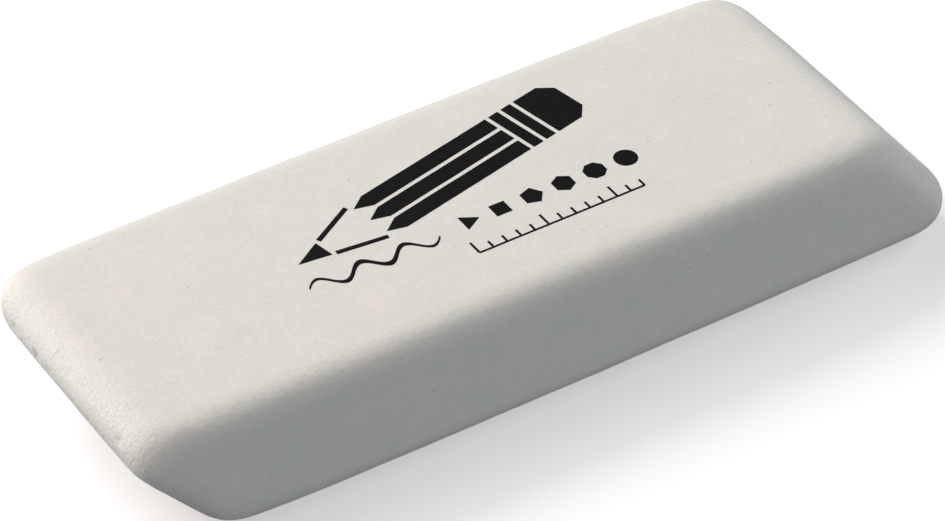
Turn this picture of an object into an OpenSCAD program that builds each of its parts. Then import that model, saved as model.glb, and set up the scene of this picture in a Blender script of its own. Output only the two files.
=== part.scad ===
// Rubber block eraser with slanted ends: one moulded and tumbled piece.
// The profile is a parallelogram. The left end leans in under the top face,
// the right end leans out, and every edge and corner is worn round.
// Millimetres. X runs along the length, Z is up, and the origin is under the middle.

/* [Overall size] */
// Length over the two sharp cross edges
length = 59; // [40:1:80]
// Width at the middle of the length
width = 20; // [14:0.5:30]
// Thickness
thickness = 10; // [8:0.5:16]

/* [Slanted ends] */
// How far each end leans along the length from top to bottom
end_run = 8.2; // [3:0.1:11]
// Rounding of the two sharp cross edges (top left, bottom right)
sharp_edge_r = 2.2; // [2.2:0.1:3.2]
// Rounding of the two blunt cross edges (bottom left, top right)
blunt_edge_r = 3.3; // [2.2:0.1:4]

/* [Long sides] */
// Rounding all round the outline of each long side
side_edge_r = 2.1; // [1:0.1:2.2]
// How much each side draws in by the ends, against its middle
side_bow = 0.2; // [0:0.05:0.6]

/* [Hidden] */
$fn = 32;

rubber = [0.83, 0.82, 0.78];
bow_places = [-0.6, -0.3, 0, 0.3, 0.6];   // where the bow of a side is set, as parts of half the length
lean = atan2(end_run, thickness);         // angle of the ends from upright

// Centres of the two roundings at the left end of the profile, as [x, z] from the block's middle.
// The blunt one touches the bottom and the slanted line that the sharp one touches.
sharp_c = [-length / 2 + sharp_edge_r, thickness / 2 - sharp_edge_r];
blunt_z = -thickness / 2 + blunt_edge_r;
blunt_x = sharp_c[0] + tan(lean) * (sharp_c[1] - blunt_z) + (blunt_edge_r - sharp_edge_r) / cos(lean);

// Half of the block's width at a place along the length
function half_width(x) = width / 2 - side_bow * pow(2 * x / length, 2);

// One round-edged disc lying in each long side: radius r in the profile, its rim rounded like the sides
module discs(x, z, r) {
  for (side = [-1, 1])
    translate([x, side * (half_width(x) - side_edge_r), z])
      rotate([90, 0, 0])
        rotate_extrude()
          intersection() {
            translate([r - side_edge_r, 0]) circle(side_edge_r);
            translate([0, -side_edge_r]) square([r, 2 * side_edge_r]);
          }
}

module eraser() {
  color(rubber)
    translate([0, 0, thickness / 2])
      hull()
        for (end = [1, -1]) {
          discs(end * sharp_c[0], end * sharp_c[1], sharp_edge_r);
          discs(end * blunt_x, end * blunt_z, blunt_edge_r);
          for (place = bow_places)
            discs(place * length / 2, end * (thickness / 2 - side_edge_r), side_edge_r);
        }
}

eraser();
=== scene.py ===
"""Looks of a white rubber block eraser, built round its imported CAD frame.

The block is one piece of white vulcanised rubber with slanted ends, tumbled until every edge and
corner is round. A plain mark is pad-printed in black on its top face: a pencil that draws a line,
a row of simple shapes and a short scale. Everything is in metres, with X along the length, Z up
and the origin under the middle of the block.
"""

import logging
import math
import random
from dataclasses import dataclass
from enum import Enum
from typing import Any, Callable, Sequence

import bmesh
import bpy
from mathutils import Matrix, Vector


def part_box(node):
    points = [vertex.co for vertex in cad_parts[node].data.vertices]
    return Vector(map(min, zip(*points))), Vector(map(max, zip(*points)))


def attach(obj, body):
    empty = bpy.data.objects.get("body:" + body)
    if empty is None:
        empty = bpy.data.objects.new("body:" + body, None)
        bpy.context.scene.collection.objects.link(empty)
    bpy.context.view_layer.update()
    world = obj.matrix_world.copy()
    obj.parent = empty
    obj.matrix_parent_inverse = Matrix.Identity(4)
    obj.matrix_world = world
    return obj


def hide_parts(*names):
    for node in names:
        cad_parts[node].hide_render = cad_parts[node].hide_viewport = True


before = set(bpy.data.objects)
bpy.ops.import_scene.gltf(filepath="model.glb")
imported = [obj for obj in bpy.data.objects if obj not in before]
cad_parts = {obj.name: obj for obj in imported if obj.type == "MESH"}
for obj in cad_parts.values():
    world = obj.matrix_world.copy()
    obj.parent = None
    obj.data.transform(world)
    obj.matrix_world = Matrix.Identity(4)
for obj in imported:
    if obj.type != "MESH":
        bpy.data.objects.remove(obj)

MM = 0.001                      # one millimetre in scene units
NEAR = 0.01 * MM                # places on the block nearer than this are the same place
FINE = 0.001 * MM               # the same for the print, which has finer parts
log = logging.getLogger("eraser")


# ---------------------------------------------------------------------------------------------
# Small tools
# ---------------------------------------------------------------------------------------------

def linear_colour(hex_code: str) -> tuple[float, float, float, float]:
    """Turns an sRGB hex value into the linear colour that shaders use.

    Args:
        hex_code: A colour such as "#d4d2c9".

    Returns:
        Linear red, green and blue, with an alpha of 1.
    """
    digits = hex_code.lstrip("#")
    channels = [int(digits[i:i + 2], 16) / 255 for i in (0, 2, 4)]
    red, green, blue = (c / 12.92 if c <= 0.04045 else ((c + 0.055) / 1.055) ** 2.4 for c in channels)
    return red, green, blue, 1.0


def add_node(tree: bpy.types.NodeTree, kind: str, settings: dict[str, Any] | None = None,
             links: dict[str, bpy.types.NodeSocket] | None = None, **properties: Any) -> bpy.types.Node:
    """Adds one shader node with its settings and incoming links.

    Args:
        tree: The node tree to add to.
        kind: Blender's node type, such as "ShaderNodeBump".
        settings: Value of each input socket, by name or number.
        links: The output socket that feeds each input socket, by name or number.
        **properties: Values of the node's own properties.

    Returns:
        The new node.
    """
    node = tree.nodes.new(kind)
    for name, value in properties.items():
        setattr(node, name, value)
    for name, value in (settings or {}).items():
        node.inputs[name].default_value = value
    for name, source in (links or {}).items():
        tree.links.new(source, node.inputs[name])
    return node


def deselect_all() -> None:
    """Leaves nothing selected, so that an operator acts only on what comes next."""
    if bpy.context.object and bpy.context.object.mode != "OBJECT":
        bpy.ops.object.mode_set(mode="OBJECT")
    bpy.ops.object.select_all(action="DESELECT")


def make_active(piece: bpy.types.Object) -> None:
    """Selects one piece alone and makes it the active one."""
    deselect_all()
    piece.select_set(True)
    bpy.context.view_layer.objects.active = piece


def name_piece(name: str) -> bpy.types.Object:
    """Names the primitive that was just added, and bakes its place and size into its mesh."""
    piece = bpy.context.object
    piece.name = piece.data.name = name
    bpy.ops.object.transform_apply(location=True, rotation=True, scale=True)
    return piece


def select_vertices(piece: bpy.types.Object, wanted: Callable[[Vector], bool]) -> None:
    """Selects the vertices of the piece in edit mode whose place passes a test."""
    bpy.ops.mesh.select_mode(type="VERT")
    bpy.ops.mesh.select_all(action="DESELECT")
    mesh = bmesh.from_edit_mesh(piece.data)
    for vertex in mesh.verts:
        vertex.select = wanted(vertex.co)
    mesh.select_flush_mode()
    bmesh.update_edit_mesh(piece.data)


def select_edges(piece: bpy.types.Object, wanted: Callable[[bmesh.types.BMEdge], bool]) -> None:
    """Selects the edges of the piece in edit mode that pass a test."""
    bpy.ops.mesh.select_mode(type="EDGE")
    bpy.ops.mesh.select_all(action="DESELECT")
    mesh = bmesh.from_edit_mesh(piece.data)
    for edge in mesh.edges:
        edge.select = wanted(edge)
    mesh.select_flush_mode()
    bmesh.update_edit_mesh(piece.data)


def apply_modifier(piece: bpy.types.Object, kind: str, **settings: Any) -> None:
    """Adds a modifier with its settings and applies it at once.

    Args:
        piece: The piece to change.
        kind: Blender's modifier type, such as "REMESH".
        **settings: Values of the modifier's properties.
    """
    make_active(piece)
    modifier = piece.modifiers.new(kind.lower(), kind)
    for name, value in settings.items():
        setattr(modifier, name, value)
    bpy.ops.object.modifier_apply(modifier=modifier.name)


# ---------------------------------------------------------------------------------------------
# Finishes
# ---------------------------------------------------------------------------------------------

@dataclass(frozen=True)
class TumbledRubber:
    """White vulcanised rubber filled with chalk and factice, dusted and dulled by tumbling.

    The chalk makes it opaque and almost fully matte, a warm off-white. Tumbling leaves a powdery
    grain, an uneven skin like fine orange peel, and here and there a pinhole or a pale crumb. The
    sharp left end has been rubbed on paper, and its skin is crumbly.

    Attributes:
        pale: Colour of the cleaner rubber, a touch pink.
        dull: Colour where powder has been rubbed into it, a touch green.
        pinhole_shade: Colour down in a pinhole, darker than the skin: painted shade in the pit.
        blotch_mm: Size of the faint patches of the two colours.
        peel_mm: Size of the skin's small swells.
        grain_mm: Size of the clots of powder. Single grains are far too fine to show.
        powder: Share by which a clot of powder is darker than the skin between.
        crumb_mm: Size of the crumbs on the rubbed left end, coarser than real ones so that they show.
        rubbed_from_mm: Place along the length where the crumbs begin, and where they are full.
        pinhole_mm: Spacing of the pinholes.
        roughness: Roughness of the powdery skin.
    """

    pale: str = "#e6e1da"
    dull: str = "#dfdfd7"
    pinhole_shade: str = "#cdcac1"
    blotch_mm: float = 2.2
    peel_mm: float = 0.8
    grain_mm: float = 0.3
    powder: float = 0.14
    crumb_mm: float = 0.2
    rubbed_from_mm: tuple[float, float] = (-26.0, -28.6)
    pinhole_mm: float = 1.1
    roughness: float = 0.9

    def material(self) -> bpy.types.Material:
        """Builds the node material.

        Returns:
            The material, named for the rubber.
        """
        material = bpy.data.materials.new("white_tumbled_rubber")
        material.use_nodes = True
        tree = material.node_tree
        shader = tree.nodes["Principled BSDF"]
        place = add_node(tree, "ShaderNodeTexCoord").outputs["Object"]
        pinholes = self._pinholes(tree, place)
        tree.links.new(self._colour(tree, place, pinholes), shader.inputs["Base Color"])
        tree.links.new(self._relief(tree, place, pinholes), shader.inputs["Normal"])
        shader.inputs["Roughness"].default_value = self.roughness
        shader.inputs["IOR"].default_value = 1.5
        shader.inputs["Specular IOR Level"].default_value = 0.3
        return material

    def _swirl(self, tree: bpy.types.NodeTree, place: bpy.types.NodeSocket, size_mm: float,
               detail: float) -> bpy.types.NodeSocket:
        """Adds a noise whose swells are about size_mm across, and returns its height."""
        noise = add_node(tree, "ShaderNodeTexNoise", {"Scale": 1 / (size_mm * MM), "Detail": detail},
                         {"Vector": place})
        return noise.outputs["Fac"]

    def _pinholes(self, tree: bpy.types.NodeTree, place: bpy.types.NodeSocket) -> bpy.types.NodeSocket:
        """Adds scattered pinholes: 1 in the middle of each, 0 between them."""
        cells = add_node(tree, "ShaderNodeTexVoronoi", {"Scale": 1 / (self.pinhole_mm * MM)},
                         {"Vector": place})
        # A pinhole is a spot a tenth of a cell wide, and only two cells in five have one.
        spot = add_node(tree, "ShaderNodeMapRange",
                        {"From Min": 0.02, "From Max": 0.10, "To Min": 1.0, "To Max": 0.0},
                        {"Value": cells.outputs["Distance"]}, interpolation_type="SMOOTHSTEP")
        draw = add_node(tree, "ShaderNodeSeparateColor", links={"Color": cells.outputs["Color"]})
        chosen = add_node(tree, "ShaderNodeMath", {1: 0.6}, {0: draw.outputs["Red"]},
                          operation="GREATER_THAN")
        both = add_node(tree, "ShaderNodeMath", links={0: spot.outputs["Result"], 1: chosen.outputs[0]},
                        operation="MULTIPLY")
        return both.outputs[0]

    def _colour(self, tree: bpy.types.NodeTree, place: bpy.types.NodeSocket,
                pinholes: bpy.types.NodeSocket) -> bpy.types.NodeSocket:
        """Adds the faint patches of two off-whites, speckled by powder, with painted shade down in the
        pinholes.
        """
        patches = add_node(tree, "ShaderNodeMapRange", {"From Min": 0.3, "From Max": 0.7},
                           {"Value": self._swirl(tree, place, self.blotch_mm, 5.0)})
        skin = add_node(tree, "ShaderNodeMix", {6: linear_colour(self.dull), 7: linear_colour(self.pale)},
                        {"Factor": patches.outputs["Result"]}, data_type="RGBA")
        clots = add_node(tree, "ShaderNodeMapRange",
                         {"To Min": 1 + self.powder / 2, "To Max": 1 - self.powder / 2},
                         {"Value": self._swirl(tree, place, self.grain_mm, 4.0)})
        dusted = add_node(tree, "ShaderNodeVectorMath",
                          links={0: skin.outputs[2], 1: clots.outputs["Result"]}, operation="MULTIPLY")
        # Each pinhole is painted in a darker colour, as painted shade down in the pit.
        speckled_with_pit_shade = add_node(tree, "ShaderNodeMix", {7: linear_colour(self.pinhole_shade)},
                            {"Factor": pinholes, 6: dusted.outputs[0]}, data_type="RGBA")
        return speckled_with_pit_shade.outputs[2]

    def _relief(self, tree: bpy.types.NodeTree, place: bpy.types.NodeSocket,
                pinholes: bpy.types.NodeSocket) -> bpy.types.NodeSocket:
        """Adds the bumps that are too fine for the mesh: orange peel, powder, crumbs and pinholes."""
        peel = add_node(tree, "ShaderNodeBump", {"Strength": 1.0, "Distance": 0.02 * MM},
                        {"Height": self._swirl(tree, place, self.peel_mm, 1.0)})
        powder = add_node(tree, "ShaderNodeBump", {"Strength": 1.0, "Distance": 0.035 * MM},
                          {"Height": self._swirl(tree, place, self.grain_mm, 3.0),
                           "Normal": peel.outputs["Normal"]})
        along = add_node(tree, "ShaderNodeSeparateXYZ", links={"Vector": place}).outputs["X"]
        start, full = self.rubbed_from_mm
        rubbed = add_node(tree, "ShaderNodeMapRange", {"From Min": start * MM, "From Max": full * MM},
                          {"Value": along})
        crumbs = add_node(tree, "ShaderNodeBump", {"Distance": 0.06 * MM},
                          {"Height": self._swirl(tree, place, self.crumb_mm, 2.0),
                           "Strength": rubbed.outputs["Result"], "Normal": powder.outputs["Normal"]})
        pits = add_node(tree, "ShaderNodeBump", {"Strength": 1.0, "Distance": 0.03 * MM},
                        {"Height": pinholes, "Normal": crumbs.outputs["Normal"]}, invert=True)
        return pits.outputs["Normal"]


@dataclass(frozen=True)
class PadPrintInk:
    """Carbon black pad-printing ink, a film a hundredth of a millimetre thick.

    It dries satin, and over powdery rubber it lies slightly uneven, so its black is not quite even.

    Attributes:
        full: Colour where the film is thick.
        thin: Colour where the film is thin.
        patch_mm: Size of the thin patches.
        roughness: Roughness of the dried film.
    """

    full: str = "#0b090a"
    thin: str = "#161314"
    patch_mm: float = 0.5
    roughness: float = 0.6

    def material(self) -> bpy.types.Material:
        """Builds the node material.

        Returns:
            The material, named for the ink.
        """
        material = bpy.data.materials.new("black_pad_print_ink")
        material.use_nodes = True
        tree = material.node_tree
        shader = tree.nodes["Principled BSDF"]
        place = add_node(tree, "ShaderNodeTexCoord").outputs["Object"]
        patches = add_node(tree, "ShaderNodeTexNoise", {"Scale": 1 / (self.patch_mm * MM), "Detail": 3.0},
                           {"Vector": place})
        film = add_node(tree, "ShaderNodeMix", {6: linear_colour(self.full), 7: linear_colour(self.thin)},
                        {"Factor": patches.outputs["Fac"]}, data_type="RGBA")
        tree.links.new(film.outputs[2], shader.inputs["Base Color"])
        shader.inputs["Roughness"].default_value = self.roughness
        shader.inputs["IOR"].default_value = 1.5
        shader.inputs["Specular IOR Level"].default_value = 0.12
        return material


# ---------------------------------------------------------------------------------------------
# The rubber block
# ---------------------------------------------------------------------------------------------

@dataclass(frozen=True)
class Dent:
    """One pit or nick in the skin.

    Attributes:
        place: A point near it.
        depth: How deep it goes. A crumb that stands proud has a depth below zero.
        reach: How far from its middle it ends.
    """

    place: Vector
    depth: float
    reach: float


@dataclass
class EraserBlock:
    """The block of rubber: its sizes, and the steps that model it.

    Attributes:
        low: Lowest corner of the CAD block's box.
        high: Highest corner of the CAD block's box.
        end_run: How far each end leans along the length from top to bottom.
        sharp_edge_r: Rounding of the two sharp cross edges.
        blunt_edge_r: Rounding of the two blunt cross edges.
        side_edge_r: Rounding all round the outline of each long side.
        crisp_edge_r: Rounding of the front edge of the top, which wore least.
        side_bow: How much each side draws in by the ends, against its middle.
        grid: Size of the mesh's squares.
        tumble_passes: How often the whole surface is smoothed, which wears its edges soft.
        corner_passes: How often the corners are smoothed again, because tumbling wears them most.
        corner_reach: How far from the uncut corner that extra wear goes.
        rubbed_passes: How often the back left corner of the top is smoothed once more.
        rubbed_reach: How far from that corner this goes.
        swell: Size and height of the low swells all over the skin.
        peel: Size and height of its fine orange peel.
        end_dents: How many pits and crumbs lie along the rubbed left end.
        side_dents: How many pits are scattered over the top, the underside and the long sides.
        dent_seed: Seed that scatters them.
    """

    low: Vector
    high: Vector
    end_run: float = 8.2 * MM
    sharp_edge_r: float = 2.3 * MM
    blunt_edge_r: float = 3.3 * MM
    side_edge_r: float = 2.0 * MM
    crisp_edge_r: float = 1.55 * MM
    side_bow: float = 0.23 * MM
    grid: float = 0.22 * MM
    tumble_passes: int = 12
    corner_passes: int = 130
    corner_reach: float = 7.0 * MM
    rubbed_passes: int = 120
    rubbed_reach: float = 8.0 * MM
    swell: tuple[float, float] = (5.0 * MM, 0.05 * MM)
    peel: tuple[float, float] = (0.9 * MM, 0.016 * MM)
    end_dents: int = 9
    side_dents: int = 12
    dent_seed: int = 5

    def __post_init__(self) -> None:
        """Works out the sizes that follow from the box."""
        self.length, self.width, self.thickness = self.high - self.low
        self.lean = math.atan2(self.end_run, self.thickness)
        # A rounded sharp edge stops short of the corner that its two faces would meet in.
        short = self.sharp_edge_r * (math.tan(self.lean) + 1 / math.cos(self.lean) - 1)
        self.corner_x = self.length / 2 + short

    def build(self) -> bpy.types.Object:
        """Models the whole block.

        Returns:
            The finished mesh object, which stands for the CAD node.
        """
        block = self._blank()
        self._bow_sides(block)
        self._lean_ends(block)
        self._round_edges(block)
        self._tumble(block)
        return block

    def _blank(self) -> bpy.types.Object:
        """Adds the square blank that the block is cut from."""
        deselect_all()
        middle = (self.low + self.high) / 2
        bpy.ops.mesh.primitive_cube_add(size=1, location=middle,
                                        scale=(2 * self.corner_x, self.width, self.thickness))
        return name_piece("eraser_block")

    def _bow_sides(self, block: bpy.types.Object) -> None:
        """Draws the long sides in towards the ends, as tumbling does."""
        bpy.ops.object.mode_set(mode="EDIT")
        cuts = [k * self.length / 2 for k in (-0.6, -0.3, 0.0, 0.3, 0.6)]
        for x in cuts:
            bpy.ops.mesh.select_all(action="SELECT")
            bpy.ops.mesh.bisect(plane_co=(x, 0, 0), plane_no=(1, 0, 0))
        for x in [-self.corner_x, *cuts, self.corner_x]:
            select_vertices(block, lambda place, x=x: abs(place.x - x) < NEAR)
            share = min(1.0, abs(2 * x / self.length)) ** 2
            narrow = 1 - 2 * self.side_bow * share / self.width
            bpy.ops.transform.resize(value=(1, narrow, 1), center_override=(x, 0, 0))
        bpy.ops.object.mode_set(mode="OBJECT")

    def _lean_ends(self, block: bpy.types.Object) -> None:
        """Slides one cross edge of each end along, so that both ends slant the same way."""
        bpy.ops.object.mode_set(mode="EDIT")
        select_vertices(block, lambda co: co.x < -self.corner_x + NEAR and co.z < self.low.z + NEAR)
        bpy.ops.transform.translate(value=(self.end_run, 0, 0))
        select_vertices(block, lambda co: co.x > self.corner_x - NEAR and co.z > self.high.z - NEAR)
        bpy.ops.transform.translate(value=(-self.end_run, 0, 0))
        bpy.ops.object.mode_set(mode="OBJECT")

    def _round_edges(self, block: bpy.types.Object) -> None:
        """Rounds the four cross edges, then the outline of each long side."""
        bpy.ops.object.mode_set(mode="EDIT")
        middle_z = (self.low.z + self.high.z) / 2
        inner_end = self.corner_x - 1.5 * self.end_run     # beyond this, an edge across belongs to an end

        def across(edge: bmesh.types.BMEdge, sharp: bool) -> bool:
            """Tells whether an edge is one of the sharp, or of the blunt, cross edges."""
            start, end = (v.co for v in edge.verts)
            if abs(start.y - end.y) < self.width / 2 or abs(start.x) < inner_end:
                return False
            return ((start.z - middle_z) * start.x < 0) == sharp

        for sharp, radius in ((True, self.sharp_edge_r), (False, self.blunt_edge_r)):
            half_angle = (math.pi / 2 + (-self.lean if sharp else self.lean)) / 2
            # Bevel draws a true circle only on a square edge: this keeps its middle on the arc.
            arc_profile = (1 - 1 / (2 * (1 + math.sin(half_angle)))) ** 2
            select_edges(block, lambda edge, sharp=sharp: across(edge, sharp))
            bpy.ops.mesh.bevel(offset_type="OFFSET", offset=radius / math.tan(half_angle), segments=10,
                               profile=arc_profile, affect="EDGES", clamp_overlap=False)

        def outline(edge: bmesh.types.BMEdge) -> bool:
            """Tells whether an edge is on the outline of a long side."""
            sides = [abs(face.normal.y) > 0.7 for face in edge.link_faces]
            return any(sides) and not all(sides)

        def crisp(edge: bmesh.types.BMEdge) -> bool:
            """Tells whether an edge is on the front edge of the top."""
            return outline(edge) and all(v.co.y < 0 and v.co.z > self.high.z - NEAR for v in edge.verts)

        select_edges(block, outline)
        bpy.ops.transform.edge_bevelweight(value=1.0)
        select_edges(block, crisp)
        bpy.ops.transform.edge_bevelweight(value=self.crisp_edge_r / self.side_edge_r - 1)
        bpy.ops.object.mode_set(mode="OBJECT")
        apply_modifier(block, "BEVEL", limit_method="WEIGHT", offset_type="OFFSET", width=self.side_edge_r,
                       segments=8, profile=0.5, use_clamp_overlap=False)

    def _tumble(self, block: bpy.types.Object) -> None:
        """Gives the block an even mesh, wears its edges and corners soft, and marks its skin."""
        apply_modifier(block, "REMESH", mode="VOXEL", voxel_size=self.grid, adaptivity=0.0)
        apply_modifier(block, "SMOOTH", factor=0.5, iterations=self.tumble_passes)
        corners = self._uncut_corners()
        self._wear_near(block, corners, self.corner_reach, self.corner_passes)
        self._wear_near(block, corners[-1:], self.rubbed_reach, self.rubbed_passes)
        for name, (size, height) in (("swell", self.swell), ("peel", self.peel)):
            noise = bpy.data.textures.new(name, "CLOUDS")
            noise.noise_scale = size
            apply_modifier(block, "DISPLACE", texture=noise, texture_coords="LOCAL", strength=height)
        self._fit_box(block)
        for dent in self._dents():
            self._press(block, dent)
        make_active(block)
        bpy.ops.object.shade_smooth()

    def _uncut_corners(self) -> list[Vector]:
        """Lists the eight corners of the leaning block, the back left one of the top last."""
        sharp, blunt = self.corner_x, self.corner_x - self.end_run
        across = self.width / 2 - self.side_bow
        ends = ((1, sharp, self.low.z), (1, blunt, self.high.z),
                (-1, blunt, self.low.z), (-1, sharp, self.high.z))
        return [Vector((end * x, side * across, z)) for side in (-1, 1) for end, x, z in ends]

    def _wear_near(self, block: bpy.types.Object, places: Sequence[Vector], reach: float,
                   passes: int) -> None:
        """Smooths the skin near some places, less and less away from them.

        Args:
            block: The block.
            places: The middles of the wear.
            reach: Where the wear ends.
            passes: How often the skin is smoothed.
        """
        worn = block.vertex_groups.new(name="worn")
        for vertex in block.data.vertices:
            distance = min((vertex.co - place).length for place in places)
            if distance < reach:
                worn.add([vertex.index], 1 - distance / reach, "REPLACE")
        apply_modifier(block, "SMOOTH", factor=0.5, iterations=passes, vertex_group=worn.name)
        block.vertex_groups.clear()

    def _dents(self) -> list[Dent]:
        """Lists one deep nick in the left end, then the scattered pits and crumbs.

        Returns:
            The dents, the same ones each time.
        """
        draw = random.Random(self.dent_seed)
        nick = Vector((self.low.x, self.width / 6, self.low.z + 0.75 * self.thickness))
        dents = [Dent(nick, 0.26 * MM, 0.4 * MM)]
        for _ in range(self.end_dents):
            across = draw.uniform(-0.35, 0.35) * self.width
            down = draw.uniform(0.05, 0.3) * self.thickness
            place = Vector((self.low.x, across, self.high.z - down))
            dents.append(Dent(place, draw.uniform(-0.05, 0.13) * MM, 0.32 * MM))
        for _ in range(self.side_dents):
            place = Vector([draw.uniform(low, high) for low, high in zip(self.low, self.high)])
            axis = draw.choice((1, 2))
            place[axis] = draw.choice((self.low, self.high))[axis]
            dents.append(Dent(place, draw.uniform(0.05, 0.09) * MM, 0.34 * MM))
        return dents

    def _press(self, block: bpy.types.Object, dent: Dent) -> None:
        """Presses one dent straight into the skin, or raises one crumb from it."""
        _, spot, normal, _ = block.closest_point_on_mesh(dent.place)
        bpy.ops.object.mode_set(mode="EDIT")
        near = (0.75 * self.grid) ** 2                     # this takes in one vertex at least
        select_vertices(block, lambda co: (co - spot).length_squared < near)
        bpy.ops.transform.translate(value=-dent.depth * normal, use_proportional_edit=True,
                                    proportional_edit_falloff="SMOOTH", proportional_size=dent.reach)
        bpy.ops.object.mode_set(mode="OBJECT")

    def _fit_box(self, block: bpy.types.Object) -> None:
        """Brings the worn block back to the exact length, width and thickness of its box."""
        corners = [Vector(corner) for corner in block.bound_box]
        low = Vector([min(c[i] for c in corners) for i in range(3)])
        high = Vector([max(c[i] for c in corners) for i in range(3)])
        full = self.high - self.low
        make_active(block)
        bpy.ops.object.mode_set(mode="EDIT")
        bpy.ops.mesh.select_all(action="SELECT")
        stretch = [full[i] / (high[i] - low[i]) for i in range(3)]
        bpy.ops.transform.resize(value=stretch, center_override=low)
        bpy.ops.transform.translate(value=self.low - low)
        bpy.ops.object.mode_set(mode="OBJECT")


# ---------------------------------------------------------------------------------------------
# The print
# ---------------------------------------------------------------------------------------------

@dataclass
class PrintedMark:
    """The black mark on the top face, made of plain shapes that are cut from the block's own skin.

    A pencil lies slanting over a wavy line that it has drawn. At its lower right are a row of plain
    shapes with more and more corners, and a short scale with a long tick every fifth one. Places and
    sizes of the shapes are in millimetres on the top face, from the middle of the block.

    Attributes:
        block: The finished block that the ink lies on.
        proud: How far the ink stands above the skin, in metres.
        sunk: How far it goes below the skin, in metres.
        pencil_tip: The pencil's point.
        pencil_end: The middle of its rubber end.
        pencil_width: Its width.
        gap: Width of the bare gaps between its parts.
        sliver: Points of a film that are nearer than this are one point.
    """

    block: bpy.types.Object
    proud: float = 0.012 * MM
    sunk: float = 0.04 * MM
    pencil_tip: tuple[float, float] = (-13.4, -0.3)
    pencil_end: tuple[float, float] = (9.3, 4.7)
    pencil_width: float = 4.1
    gap: float = 0.28
    sliver: float = 0.003 * MM

    def __post_init__(self) -> None:
        """Works out how high the top face is, and how far a cutting shape has to reach through it."""
        self.top = max(corner[2] for corner in self.block.bound_box)
        self.depth = 0.5 * MM

    def build(self) -> list[bpy.types.Object]:
        """Cuts the three parts of the mark.

        Returns:
            The pencil with its line, the row of shapes and the scale, each a mesh piece.
        """
        parts = {"print_pencil": self._pencil,
                 "print_shapes": self._row_of_shapes,
                 "print_scale": self._scale}
        return [self._cut(name, shapes()) for name, shapes in parts.items()]

    def _sheet_of_ink(self, shapes: Sequence[bpy.types.Object]) -> bpy.types.Object:
        """Copies the skin under some shapes, and gives the copy the thickness of the ink."""
        corners = [Vector(corner) for shape in shapes for corner in shape.bound_box]
        low, high = (Vector([pick(corner[axis] for corner in corners) for axis in range(3)])
                     for pick in (min, max))
        margin = 1.0 * MM
        make_active(self.block)
        bpy.ops.object.duplicate()
        sheet = bpy.context.object
        bpy.ops.object.mode_set(mode="EDIT")
        select_vertices(sheet, lambda co: not (co.z > low.z and low.x - margin < co.x < high.x + margin
                                               and low.y - margin < co.y < high.y + margin))
        bpy.ops.mesh.delete(type="VERT")
        bpy.ops.object.mode_set(mode="OBJECT")
        thickness = self.proud + self.sunk
        apply_modifier(sheet, "SOLIDIFY", thickness=thickness, offset=2 * self.proud / thickness - 1)
        return sheet

    def _prism(self, add: Callable[..., Any], **sizes: Any) -> bpy.types.Object:
        """Adds one upright prism that crosses the top face."""
        deselect_all()
        add(**sizes)
        return name_piece("cutter")

    def _bar(self, start: Vector, end: Vector, start_width: float, end_width: float,
             shoulder: tuple[float, float] | None = None) -> bpy.types.Object:
        """Adds a straight bar, which may taper, as one closed solid.

        Args:
            start: Middle of its first end, in millimetres.
            end: Middle of its other end.
            start_width: Its width at the start.
            end_width: Its width at the end.
            shoulder: Where its taper changes, as a distance from the start, and its width there.

        Returns:
            The bar, as a prism through the top face.
        """
        length = (end - start).length
        stations = [(0.0, start_width), *([shoulder] if shoulder else []), (length, end_width)]
        places = [((distance - length / 2) * MM, width) for distance, width in stations]
        thinnest = 0.02                                    # a pointed end is this wide
        bar = self._prism(bpy.ops.mesh.primitive_cube_add, size=1,
                          scale=(length * MM, MM, 2 * self.depth))
        bpy.ops.object.mode_set(mode="EDIT")
        for x, _ in places[1:-1]:
            bpy.ops.mesh.select_all(action="SELECT")
            bpy.ops.mesh.bisect(plane_co=(x, 0, 0), plane_no=(1, 0, 0))
        for x, width in places:
            select_vertices(bar, lambda co, x=x: abs(co.x - x) < FINE)
            bpy.ops.transform.resize(value=(1, max(width, thinnest), 1), center_override=(0, 0, 0))
        bpy.ops.object.mode_set(mode="OBJECT")
        middle = (start + end) / 2
        bar.location = (middle.x * MM, middle.y * MM, self.top)
        bar.rotation_euler.z = math.atan2(end.y - start.y, end.x - start.x)
        return name_piece("cutter")

    def _disc(self, centre: Vector, radius: float, corners: int, turn: float = 0.0) -> bpy.types.Object:
        """Adds a disc, or a plain polygon when it has few corners."""
        return self._prism(bpy.ops.mesh.primitive_cylinder_add, vertices=corners, radius=radius * MM,
                           depth=2 * self.depth, location=(centre.x * MM, centre.y * MM, self.top),
                           rotation=(0, 0, turn))

    def _pencil(self) -> list[bpy.types.Object]:
        """Adds the pencil's lead, bare wood, facets, ferrule and rubber end, and the line it draws."""
        tip, end = Vector(self.pencil_tip), Vector(self.pencil_end)
        along = (end - tip).normalized()
        across = Vector((-along.y, along.x))
        length, half, gap = (end - tip).length, self.pencil_width / 2, self.gap

        def at(distance: float, offset: float = 0.0) -> Vector:
            """Gives the place at a distance from the tip, and off the pencil's axis."""
            return tip + along * distance + across * offset

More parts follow.
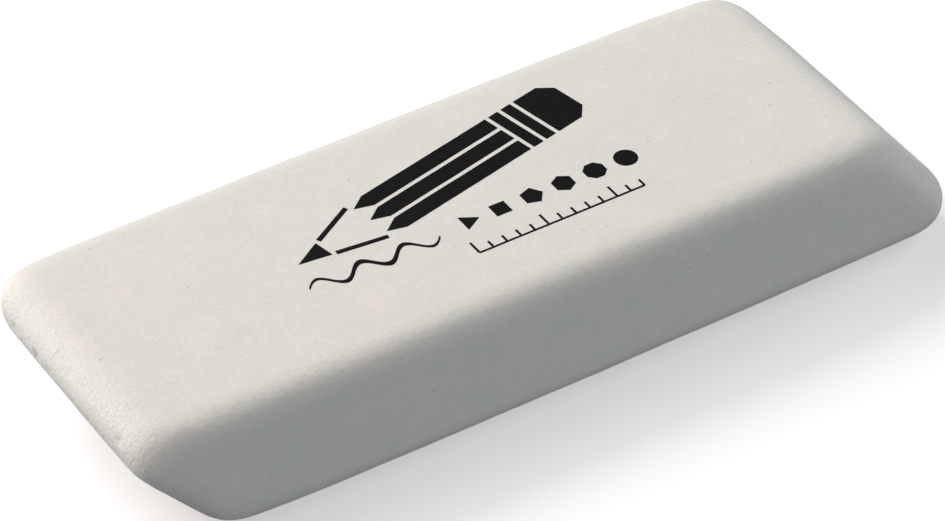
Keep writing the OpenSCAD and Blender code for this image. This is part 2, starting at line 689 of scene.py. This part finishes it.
        lead, wood, shank, ferrule = 2.1, 5.7, length - 5.4, length - 3.2
        outline = 0.34                                     # width of the lines round the bare wood
        chamfer = 0.9                                      # how far from its end the rubber narrows
        shapes = [self._bar(at(0), at(lead), 0, 2 * half * lead / wood)]
        for side in (-1, 1):
            rise = (half - outline / 2) / wood
            shapes.append(self._bar(at(lead + gap, side * rise * (lead + gap)), at(wood, side * rise * wood),
                                    outline, outline))
        facet = (2 * half - 2 * gap) / 3
        for offset in (-facet - gap, 0, facet + gap):
            shapes.append(self._bar(at(wood + gap, offset), at(shank, offset), 0, facet, (facet, facet)))
        band = (ferrule - shank - 2 * gap) / 2
        for start in (shank + gap, shank + 2 * gap + band):
            shapes.append(self._bar(at(start), at(start + band), 2 * half, 2 * half))
        shoulder = (length - chamfer - ferrule - gap, 2 * half)
        shapes.append(self._bar(at(ferrule + gap), at(length), 2 * half, 1.2 * half, shoulder))
        return shapes + self._wavy_line(start=Vector((-14.0, -2.6)), length=9.2, swing=0.55, waves=3,
                                        width=0.42)

    def _wavy_line(self, start: Vector, length: float, swing: float, waves: int,
                   width: float) -> list[bpy.types.Object]:
        """Adds the wavy line that the pencil has drawn, as one bar bent step by step.

        Args:
            start: Its left end.
            length: Its length.
            swing: How far it goes up and down.
            waves: How many waves it makes.
            width: Its width in the middle. It is thinner at both ends.

        Returns:
            The line, alone in a list.
        """
        line = self._bar(start, start + Vector((length, 0)), width, width)
        bpy.ops.object.mode_set(mode="EDIT")
        steps_a_wave = 16
        steps = steps_a_wave * waves
        thin_end = 0.4                                     # share of the width that is left at an end
        stations = [(step / steps, (start.x + length * step / steps) * MM) for step in range(steps + 1)]
        for _, x in stations[1:-1]:
            bpy.ops.mesh.select_all(action="SELECT")
            bpy.ops.mesh.bisect(plane_co=(x, 0, 0), plane_no=(1, 0, 0))
        for share, x in stations:
            select_vertices(line, lambda co, x=x: abs(co.x - x) < FINE)
            stroke = thin_end + (1 - thin_end) * math.sin(math.pi * share)
            bpy.ops.transform.resize(value=(1, stroke, 1), center_override=(x, start.y * MM, 0))
            bpy.ops.transform.translate(value=(0, swing * MM * math.sin(2 * math.pi * waves * share), 0))
        bpy.ops.object.mode_set(mode="OBJECT")
        return [line]

    def _row_of_shapes(self) -> list[bpy.types.Object]:
        """Adds the row of plain shapes, from a triangle to a disc."""
        radius, spacing, start = 0.78, 2.3, Vector((-2.6, -2.35))
        return [self._disc(start + Vector((spacing * place, 0)), radius, corners,
                           math.pi / 2 - math.pi / corners)
                for place, corners in enumerate((3, 4, 5, 6, 8, 48))]

    def _scale(self) -> list[bpy.types.Object]:
        """Adds the short scale: a base line and its ticks."""
        left, base, ticks, spacing, line = -3.6, -5.2, 13, 1.0, 0.16
        shapes = [self._bar(Vector((left, base)), Vector((left + (ticks - 1) * spacing, base)), line, line)]
        for tick in range(ticks):
            x = left + tick * spacing
            height = 1.1 if tick % 5 == 0 else 0.65
            shapes.append(self._bar(Vector((x, base)), Vector((x, base + height)), line, line))
        return shapes

    def _cut(self, name: str, shapes: list[bpy.types.Object]) -> bpy.types.Object:
        """Cuts one part of the mark from a sheet of ink.

        Args:
            name: The piece's name.
            shapes: Upright prisms, which are used up.

        Returns:
            The ink film, a hair proud of the rubber and following every swell of it.
        """
        sheet = self._sheet_of_ink(shapes)
        deselect_all()
        for shape in shapes:
            shape.select_set(True)
        bpy.context.view_layer.objects.active = shapes[0]
        bpy.ops.object.join()
        film = bpy.context.object
        film.name = film.data.name = name
        apply_modifier(film, "BOOLEAN", operation="INTERSECT", object=sheet, solver="EXACT", use_self=True)
        bpy.data.objects.remove(sheet)
        self._close_slivers(film)
        make_active(film)
        bpy.ops.object.shade_smooth_by_angle(angle=math.radians(30))
        return film

    def _close_slivers(self, film: bpy.types.Object) -> None:
        """Merges points that a cut along a mesh edge left a few thousandths of a millimetre apart."""
        make_active(film)
        bpy.ops.object.mode_set(mode="EDIT")
        bpy.ops.mesh.select_all(action="SELECT")
        bpy.ops.mesh.quads_convert_to_tris(quad_method="BEAUTY", ngon_method="BEAUTY")
        bpy.ops.mesh.remove_doubles(threshold=self.sliver)
        bpy.ops.mesh.dissolve_degenerate(threshold=self.sliver)
        bpy.ops.mesh.delete_loose()
        bpy.ops.object.mode_set(mode="OBJECT")


# ---------------------------------------------------------------------------------------------
# Room, light and camera
# ---------------------------------------------------------------------------------------------

def add_floor() -> None:
    """Adds the table: white acrylic, faintly lit from below so that shadows on it stay light.

    The glow and the table's reflected light are kept off the block, as a dark card does that masks
    a light table up to the edge of what lies on it.
    """
    deselect_all()
    bpy.ops.mesh.primitive_plane_add(size=6.0, location=(0, 0, 0))
    floor = name_piece("white_table")
    finish = bpy.data.materials.new("backlit_white_acrylic")
    finish.use_nodes = True
    shader = finish.node_tree.nodes["Principled BSDF"]
    shader.inputs["Base Color"].default_value = linear_colour("#dcdcdc")
    shader.inputs["Roughness"].default_value = 1.0
    shader.inputs["Specular IOR Level"].default_value = 0.1
    shader.inputs["Emission Color"].default_value = linear_colour("#ffffff")
    shader.inputs["Emission Strength"].default_value = 0.45
    floor.data.materials.append(finish)
    floor.visible_diffuse = False


def add_camera(centre: Vector) -> None:
    """Sets a long lens on the block, from the front, its left and above."""
    lens_data = bpy.data.cameras.new("camera")
    camera = bpy.data.objects.new("camera", lens_data)
    bpy.context.scene.collection.objects.link(camera)
    turn, height, distance = math.radians(-32.5), math.radians(40.0), 0.29
    towards = Vector((math.sin(turn) * math.cos(height),
                      -math.cos(turn) * math.cos(height),
                      math.sin(height)))
    camera.location = centre + distance * towards
    camera.rotation_euler = (-towards).to_track_quat("-Z", "Y").to_euler()
    lens_data.lens = 178.0
    lens_data.sensor_width = 36.0
    lens_data.shift_x = -0.012
    lens_data.shift_y = -0.0125
    lens_data.clip_start = 0.01
    bpy.context.scene.camera = camera


class LightColour(Enum):
    """The colours of light in the studio, as sRGB hex values."""

    DAYLIGHT = "#f0f8ff"
    WHITE = "#ffffff"
    LAMP = "#ffeada"


@dataclass(frozen=True)
class SoftBox:
    """One soft box that faces the block.

    Attributes:
        name: The light's name.
        turn: Degrees round from the right end of the block, anticlockwise from above.
        height: Degrees above the table.
        power: Its power in watts.
        colour: Its colour.
        distance: How far away it stands.
        wide: Its width.
        tall: Its height.
    """

    name: str
    turn: float
    height: float
    power: float
    colour: LightColour
    distance: float = 0.6
    wide: float = 0.3
    tall: float = 0.3

    def add(self, centre: Vector) -> None:
        """Adds the light, turned towards the centre of the block."""
        lamp = bpy.data.lights.new(self.name, "AREA")
        lamp.shape, lamp.size, lamp.size_y = "RECTANGLE", self.wide, self.tall
        lamp.energy = self.power
        lamp.color = linear_colour(self.colour.value)[:3]
        light = bpy.data.objects.new(self.name, lamp)
        bpy.context.scene.collection.objects.link(light)
        turn, height = math.radians(self.turn), math.radians(self.height)
        way = Vector((math.cos(turn) * math.cos(height),
                      math.sin(turn) * math.cos(height),
                      math.sin(height)))
        light.location = centre + self.distance * way
        light.rotation_euler = (-way).to_track_quat("-Z", "Y").to_euler()
        light.visible_camera = False


# Two large lights stand behind and to the left, one cool and one warm. Weaker ones fill in low all
# round and at the right, and a small lit card close to the left end brightens its rounding.
STUDIO = (
    SoftBox("high_back", 105, 45, 2.7, LightColour.DAYLIGHT),
    SoftBox("high_left", 150, 45, 1.6, LightColour.LAMP),
    SoftBox("low_back", 130, 8, 0.4, LightColour.WHITE),
    SoftBox("low_left", 210, 8, 0.9, LightColour.DAYLIGHT),
    SoftBox("low_front", 300, 8, 1.5, LightColour.DAYLIGHT),
    SoftBox("right", 0, 28, 1.0, LightColour.WHITE),
    SoftBox("left_card", 170, 0, 0.004, LightColour.DAYLIGHT, distance=0.06, wide=0.05, tall=0.008),
)


def main() -> None:
    """Builds the block, its print, the table, the light and the camera."""
    logging.basicConfig(level=logging.INFO, format="%(name)s: %(message)s")
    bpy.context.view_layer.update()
    low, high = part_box("eraser")
    block = EraserBlock(low, high).build()
    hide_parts("eraser")
    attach(block, "root")
    block.data.materials.append(TumbledRubber().material())
    log.info("%s: %d faces", block.name, len(block.data.polygons))

    ink = PadPrintInk().material()
    for film in PrintedMark(block).build():
        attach(film, "root")
        film.data.materials.clear()
        film.data.materials.append(ink)
        log.info("%s: %d faces", film.name, len(film.data.polygons))

    centre = (low + high) / 2
    add_floor()
    add_camera(centre)
    for light in STUDIO:
        light.add(centre)
    bpy.context.scene.view_settings.view_transform = "Standard"


if __name__ == "__main__":
    main()
